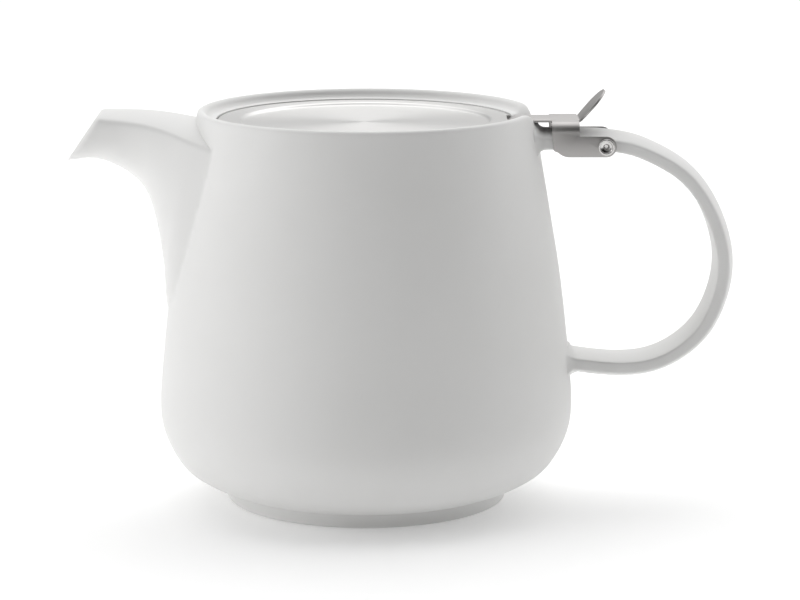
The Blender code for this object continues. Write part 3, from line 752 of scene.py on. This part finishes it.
def make_lever(material):
    """One bent plate: tongue, joggle, arm, plate with two ears, and thumb tab."""
    level = LEVER_TOP - LEVER_SHEET / 2
    ear_y = LEVER_HALF_W - LEVER_SHEET / 2
    side_y = ear_y - LEVER_BEND_R
    corner_y = ARM_HALF_W + ARM_CORNER
    tongue = [(TONGUE_FRONT, 0, TONGUE_Z), (TONGUE_REAR, 0, TONGUE_Z), (TONGUE_REAR, ARM_HALF_W, TONGUE_Z),
              (TONGUE_FRONT + 1.0, ARM_HALF_W, TONGUE_Z), (TONGUE_FRONT + 0.3, ARM_HALF_W - 0.3, TONGUE_Z),
              (TONGUE_FRONT, ARM_HALF_W - 1.0, TONGUE_Z)]
    joggle = [(TONGUE_REAR, 0, TONGUE_Z), (JOGGLE_REAR, 0, level), (JOGGLE_REAR, ARM_HALF_W, level),
              (TONGUE_REAR, ARM_HALF_W, TONGUE_Z)]
    arm = [(JOGGLE_REAR, 0, level), (PLATE_FRONT - 0.6, 0, level), (PLATE_FRONT, 0, level),
           (PLATE_FRONT, corner_y, level), (PLATE_FRONT - 0.15, ARM_HALF_W + 0.12, level),
           (PLATE_FRONT - 0.6, ARM_HALF_W, level), (JOGGLE_REAR, ARM_HALF_W, level)]
    plate = [(PLATE_FRONT, 0, level), (PLATE_REAR, 0, level), (PLATE_REAR, TAB_ROOT_HALF_W, level),
             (PLATE_REAR, side_y, level), (PLATE_FRONT, side_y, level), (PLATE_FRONT, corner_y, level)]
    faces = [tongue, joggle, arm, plate]
    faces += bend_faces(PLATE_FRONT, PLATE_REAR, ear_y, level, LEVER_BEND_R)
    faces.append([(x, ear_y, z) for x, z in ear_outline(level - LEVER_BEND_R)])
    faces += tab_faces(level)
    lever = sheet("steel_lever", faces, LEVER_SHEET)
    boolean(lever, rivet_bore(), "DIFFERENCE")
    smooth(lever, 35)
    return finished(lever, "lid", "hinge_steel", material, "lid_lever")


CLIP_SHEET = 0.6
CLIP_BEND_R = 3.6
CLIP_EYE_R = 3.1
CLIP_FRONT, CLIP_REAR = 65.2, 73.4


def make_clip(material):
    """The saddle over the handle's root, under the lever."""
    front, rear = CLIP_FRONT, CLIP_REAR
    top = CLIP_HIGH.z / MM - CLIP_SHEET / 2
    side = CLIP_HIGH.y / MM - CLIP_SHEET / 2
    flat = side - CLIP_BEND_R
    level = [(front, 0, top), (rear, 0, top), (rear, flat, top), (front, flat, top)]
    outline = [(front, top - CLIP_BEND_R), (rear, top - CLIP_BEND_R), (rear + 1.2, PIN_Z + CLIP_EYE_R)]
    outline += arc((PIN_X, PIN_Z), CLIP_EYE_R, 90, -90, 20)
    outline += [(70.4, PIN_Z - CLIP_EYE_R), (66.2, 124.9), (65.5, 125.2), (front, 125.7)]
    faces = [level, [(x, side, z) for x, z in outline]]
    faces += bend_faces(front, rear, side, top, CLIP_BEND_R)
    clip = sheet("steel_clip", faces, CLIP_SHEET, 0.1)
    boolean(clip, rivet_bore(), "DIFFERENCE")
    smooth(clip, 35)
    return finished(clip, "pot", "hinge_steel", material, "handle_clip")


RIVET_HEAD_R = 2.9
RIVET_HEAD_H = 0.8
RIVET_SHANK_R = 1.3
RIVET_HOLLOW = 2.2      # how deep the hollow in each head goes


def make_rivet(material):
    """A semi-tubular rivet with a rolled, dished head at each end."""
    end = PIN_END
    head = rounded([(0.0, end - RIVET_HOLLOW), (0.8, end - RIVET_HOLLOW, 0.3), (0.95, end - 0.75, 0.3),
                    (1.95, end - 0.3, 0.35), (2.25, end, 0.3), (RIVET_HEAD_R, end - 0.05, 0.45),
                    (RIVET_HEAD_R, end - RIVET_HEAD_H, 0.1), (RIVET_SHANK_R, end - RIVET_HEAD_H, 0.05),
                    (RIVET_SHANK_R, 0.0)], 0.2, 6)
    profile = head[:-1] + [(r, -z) for r, z in reversed(head[:-1])]
    rivet = turned("steel_rivet", profile, 64, False)
    to_hinge = Matrix.Translation(AXIS + Vector((PIN_X, 0, PIN_Z)) * MM)
    lying = Matrix.Rotation(math.radians(90), 4, "X")
    rivet.data.transform(to_hinge @ lying @ Matrix.Translation(-AXIS))
    smooth(rivet, 40)
    return finished(rivet, "pot", "rivet_steel", material, "hinge_pin")


# ---------------------------------------------------------------- lid

LID_STEP_R = 43.6
LID_PLATEAU = 133.9
LID_SHEET = 0.8
SLOT_AT = (53.0, 0, 134)
SLOT_SIZE = (7, 16.4, 8)


def make_lid(material):
    """A disc with a sunken middle, a raised ring, a short skirt and a slot for the lever's tongue."""
    top, low, thick = LID_TOP, LID_PLATEAU, LID_SHEET
    upper = rounded([(0.0, low), (20.0, low, 0.1), (LID_STEP_R - 0.5, low, 0.8), (LID_STEP_R + 0.4, top, 0.8),
                     (47.0, top, 0.1), (LID_R, top, 0.4), (LID_R, LID_SKIRT, 0.12),
                     (LID_R - thick, LID_SKIRT, 0.12), (LID_R - thick, top - thick, 0.35),
                     (LID_STEP_R + 1.0, top - thick, 0.5), (LID_STEP_R + 0.1, low - thick, 0.5),
                     (20.0, low - thick, 0.1), (0.0, low - thick)], 0.3, 6)
    disc = turned("steel_lid", upper, 256, False)
    work = bmesh.new()
    bmesh.ops.create_cube(work, size=1.0)
    size = Matrix.Diagonal([length * MM for length in SLOT_SIZE] + [1])
    place = Matrix.Translation(AXIS + Vector(SLOT_AT) * MM)
    bmesh.ops.transform(work, matrix=place @ size, verts=work.verts)
    boolean(disc, to_object("lid_slot", work), "DIFFERENCE")
    smooth(disc, 40)
    return finished(disc, "lid", "lid_steel", material, "lid_disc")


# ---------------------------------------------------------------- infuser

GAP = 0.3               # how far pieces that touch are kept apart
HOOP_R = WALL_R + 0.6   # the inside of collar and hoop, which go round the wall
COLLAR_SHEET = 0.7
BAND_SHEET = 0.6
BAND_LIP = 3.4          # how far the hoop's lower edge reaches in under the wall
MESH_SHEET = 0.5
MESH_WELD = 0.02        # cell corners closer than this are one corner


def make_rim(material):
    """Flange on the pot's ledge and collar round the wall; the profile closes half way up the inside."""
    outer, ledge = HOOP_R + COLLAR_SHEET, LEDGE_Z + GAP
    profile = rounded([(HOOP_R, COLLAR_LOW + 3), (HOOP_R, FLANGE_TOP, 0.6), (FLANGE_R, FLANGE_TOP, 0.25),
                       (FLANGE_R, ledge, 0.25), (outer, ledge, 0.4), (outer, COLLAR_LOW, 0.2),
                       (HOOP_R, COLLAR_LOW, 0.2), (HOOP_R, COLLAR_LOW + 2.9)], 0.3, 4)
    rim = smooth(turned("infuser_rim_ring", profile, STEPS_ROUND, True), 40)
    return finished(rim, "infuser", "infuser_steel", material, "infuser_rim")


def make_band(material):
    """The hoop round the wall's foot, turned in under the floor."""
    low, high = BAND_LOW.z / MM, BAND_HIGH.z / MM
    outer, lip, upper = HOOP_R + BAND_SHEET, WALL_R - BAND_LIP, low + BAND_SHEET
    profile = rounded([(HOOP_R, low + 4), (HOOP_R, high, 0.25), (outer, high, 0.25), (outer, low, 1.0),
                       (lip, low, 0.25), (lip, upper, 0.25), (HOOP_R, upper, 0.4), (HOOP_R, low + 3.9)],
                      0.3, 4)
    band = smooth(turned("infuser_hoop", profile, STEPS_ROUND, True), 40)
    return finished(band, "infuser", "infuser_steel", material, "infuser_band")


def cell_edge(cell):
    """A cell's corners and the middles of its sides, from its low corner round."""
    (u0, v0), (u1, v1) = cell
    mid_u, mid_v = (u0 + u1) / 2, (v0 + v1) / 2
    return [(u0, v0), (mid_u, v0), (u1, v0), (u1, mid_v), (u1, v1), (mid_u, v1), (u0, v1), (u0, mid_v)]


def pierced(work, cell, place, hole_share):
    """Fills a four-sided cell with a frame round an eight-sided hole; place maps (u, v) to a point."""
    (u0, v0), (u1, v1) = cell
    mid_u, mid_v = (u0 + u1) / 2, (v0 + v1) / 2
    hole_u, hole_v = (u1 - u0) / 2 * hole_share, (v1 - v0) / 2 * hole_share
    outer = [work.verts.new(place(u, v)) for u, v in cell_edge(cell)]
    inner = []
    for k in range(8):
        angle = math.radians(225 + 45 * k)
        inner.append(work.verts.new(place(mid_u + hole_u * math.cos(angle),
                                          mid_v + hole_v * math.sin(angle))))
    for k in range(8):
        work.faces.new((outer[k], outer[(k + 1) % 8], inner[(k + 1) % 8], inner[k]))


def plain(work, cell, place, split_low=True):
    """The same cell with no hole, with matching edge points; its low edge can stay whole."""
    edge = cell_edge(cell)
    if not split_low:
        del edge[1]
    work.faces.new([work.verts.new(place(u, v)) for u, v in edge])


def thickened(name, work):
    """The welded cells as one sheet of the infuser's thickness."""
    bmesh.ops.remove_doubles(work, verts=work.verts, dist=MESH_WELD * MM)
    bmesh.ops.recalc_face_normals(work, faces=work.faces)
    thing = to_object(name, work)
    solid = thing.modifiers.new("thickness", "SOLIDIFY")
    solid.thickness = MESH_SHEET * MM
    solid.offset = 0.0
    return smooth(applied(thing), 35)


def make_wall(material):
    """A cylinder of pierced rows between two plain bands."""
    columns, rows = 96, 30
    band = 8.0
    pitch = (WALL_TOP - WALL_LOW - 2 * band) / rows
    work = bmesh.new()

    def place(u, v):
        angle = 2 * math.pi * u / columns
        return AXIS + Vector((WALL_R * math.cos(angle), WALL_R * math.sin(angle), v)) * MM

    levels = [WALL_LOW] + [WALL_LOW + band + pitch * k for k in range(rows + 1)] + [WALL_TOP]
    for row, (low, high) in enumerate(zip(levels, levels[1:])):
        for column in range(columns):
            cell = ((column, low), (column + 1, high))
            if 0 < row <= rows:
                pierced(work, cell, place, 0.6)
            else:
                plain(work, cell, place)
    wall = thickened("infuser_mesh_wall", work)
    return finished(wall, "infuser", "infuser_steel", material, "infuser_wall")


def make_floor(material):
    """A slightly domed disc of pierced rings, with fewer and wider cells towards its middle."""
    radius = FLOOR_HIGH.y / MM
    level = (FLOOR_LOW.z + FLOOR_HIGH.z) / 2 / MM
    sectors, rings = 96, 12
    inner_r, edge_band = 8.0, 4.0
    coarse_r, medium_r = 16, 30         # cells span four sectors inside the first, two inside the second
    dome, sink = 0.25, 0.2
    pitch = (radius - edge_band - inner_r) / rings
    work = bmesh.new()

    def place(u, v):
        angle = 2 * math.pi * u / sectors
        rise = dome * (1 - (v / radius) ** 2) - sink
        return AXIS + Vector((v * math.cos(angle), v * math.sin(angle), level + rise)) * MM

    inside = 4
    for ring in range(rings + 1):
        low = inner_r + pitch * ring
        high = low + pitch if ring < rings else radius
        per = 4 if low < coarse_r else 2 if low < medium_r else 1
        for column in range(0, sectors, per):
            cell = ((column, low), (column + per, high))
            if 1 <= ring < rings and per == inside:
                pierced(work, cell, place, 0.55)
            else:
                plain(work, cell, place, per == inside)
        inside = per
    centre = [work.verts.new(place(u, inner_r)) for u in range(0, sectors, 2)]
    work.faces.new(centre)
    floor = thickened("infuser_mesh_floor", work)
    return finished(floor, "infuser", "infuser_steel", material, "infuser_floor")


# ---------------------------------------------------------------- stage, light and camera

def area_light(name, place, target, size, power):
    """A rectangular white lamp that faces the target and is not seen itself."""
    data = bpy.data.lights.new(name, "AREA")
    data.shape = "RECTANGLE"
    data.size, data.size_y = size
    data.energy = power
    lamp = bpy.data.objects.new(name, data)
    lamp.location = place
    lamp.rotation_mode = "QUATERNION"
    lamp.rotation_quaternion = (Vector(place) - Vector(target)).to_track_quat("Z", "Y")
    lamp.visible_camera = False
    bpy.context.scene.collection.objects.link(lamp)


def ring_of(work, reach, height, steps):
    """A level ring of points round the middle of the stage, in metres."""
    angles = [2 * math.pi * k / steps for k in range(steps)]
    return [work.verts.new((reach * math.cos(a), reach * math.sin(a), height)) for a in angles]


def make_stage():
    """A wide, plain, pale floor that glows faintly, so that its shadows stay light."""
    level = -0.0002
    n = Nodes("glowing studio paper")
    n.shader.inputs["Base Color"].default_value = (0.95, 0.95, 0.95, 1)
    n.shader.inputs["Roughness"].default_value = 1.0
    n.shader.inputs["Specular IOR Level"].default_value = 0.0
    # Painted light: the pale paper also glows, though it is no lamp, lighting the pot's foot from below and
    # keeping its shadows light.
    n.shader.inputs["Emission Color"].default_value = (1, 1, 1, 1)
    n.shader.inputs["Emission Strength"].default_value = 0.18
    work = bmesh.new()
    rings = [[work.verts.new((0, 0, level))]]
    rings += [ring_of(work, reach, level, 64) for reach in (0.6, 8.0)]
    join_rings(work, rings, False)
    floor = to_object("studio_floor", work)
    floor.data.materials.append(n.material)
    smooth(floor)


# The studio's soft glow, as a strength, a direction and a tightness for each side it comes from.
GLOW = [
    (0.59, (0, 1, 0), 1.0),             # the whole back half
    (0.40, (-1, -0.5, 0.5), 4.0),       # front left
    (1.50, (1, 0.5, 0.3), 6.0),         # right
    (1.45, (0, 0.35, 1), 6.0),          # above
]


def make_world():
    """A background whose brightness falls off round each direction in GLOW."""
    world = bpy.data.worlds.new("studio")
    world.use_nodes = True
    tree = world.node_tree
    background = tree.nodes["Background"]
    direction = tree.nodes.new("ShaderNodeTexCoord").outputs["Generated"]

    def maths(operation, a, *others):
        node = tree.nodes.new("ShaderNodeMath")
        node.operation = operation
        tree.links.new(a, node.inputs[0])
        for k, value in enumerate(others, 1):
            if isinstance(value, bpy.types.NodeSocket):
                tree.links.new(value, node.inputs[k])
            else:
                node.inputs[k].default_value = value
        return node.outputs[0]

    total = 0.0
    for strength, side, tightness in GLOW:
        facing = tree.nodes.new("ShaderNodeVectorMath")
        facing.operation = "DOT_PRODUCT"
        tree.links.new(direction, facing.inputs[0])
        facing.inputs[1].default_value = Vector(side).normalized()
        lit = maths("MAXIMUM", facing.outputs["Value"], 0.0)
        total = maths("MULTIPLY_ADD", maths("POWER", lit, tightness), strength, total)
    tree.links.new(total, background.inputs["Strength"])
    background.inputs["Color"].default_value = (1, 1, 1, 1)
    bpy.context.scene.world = world


def make_lights():
    """A wide softbox overhead towards the back, and a smaller one at the left; places in metres."""
    area_light("overhead_softbox", (0.0, 0.9, 1.1), (0.0, 0.9, 0.0), (2.6, 2.4), 12)
    area_light("left_softbox", (-1.1, -0.25, 0.45), (0, 0, 0.1), (0.9, 0.9), 4.2)


CAMERA_LENS = 137.55
CAMERA_SENSOR = 36.0
CAMERA_AT = (12.01, -1062.41, 278.69)
CAMERA_DOWN_DEG = 11.102


def make_camera():
    """A long lens a metre away, looking down eleven degrees at the front."""
    data = bpy.data.cameras.new("camera")
    data.lens = CAMERA_LENS
    data.sensor_width = CAMERA_SENSOR
    data.clip_start, data.clip_end = 0.01, 20.0
    camera = bpy.data.objects.new("camera", data)
    camera.location = AXIS + Vector(CAMERA_AT) * MM
    camera.rotation_euler = (math.radians(90 - CAMERA_DOWN_DEG), 0, 0)
    bpy.context.scene.collection.objects.link(camera)
    bpy.context.scene.camera = camera


def main():
    make_camera()
    make_world()
    make_lights()
    make_stage()
    porcelain = porcelain_material()
    lever_steel = steel_material("satin hinge steel", (0.45, 0.438, 0.43), 0.34, (1, 14, 14), 0.85)
    rivet_steel = steel_material("rivet steel", (0.68, 0.67, 0.66), 0.24, (1, 1, 1), 0.0)
    lid_steel = steel_material("spun lid steel", (0.67, 0.665, 0.655), 0.40, (1, 1, 1), 0.55, tuple(AXIS))
    mesh_steel = steel_material("infuser steel", (0.63, 0.63, 0.625), 0.3, (1, 1, 6), 0.2)
    make_porcelain(porcelain)
    make_clip(lever_steel)
    make_rivet(rivet_steel)
    make_lever(lever_steel)
    make_lid(lid_steel)
    make_rim(mesh_steel)
    make_band(mesh_steel)
    make_wall(mesh_steel)
    make_floor(mesh_steel)


main()
bpy.context.scene.view_settings.view_transform = "Standard"
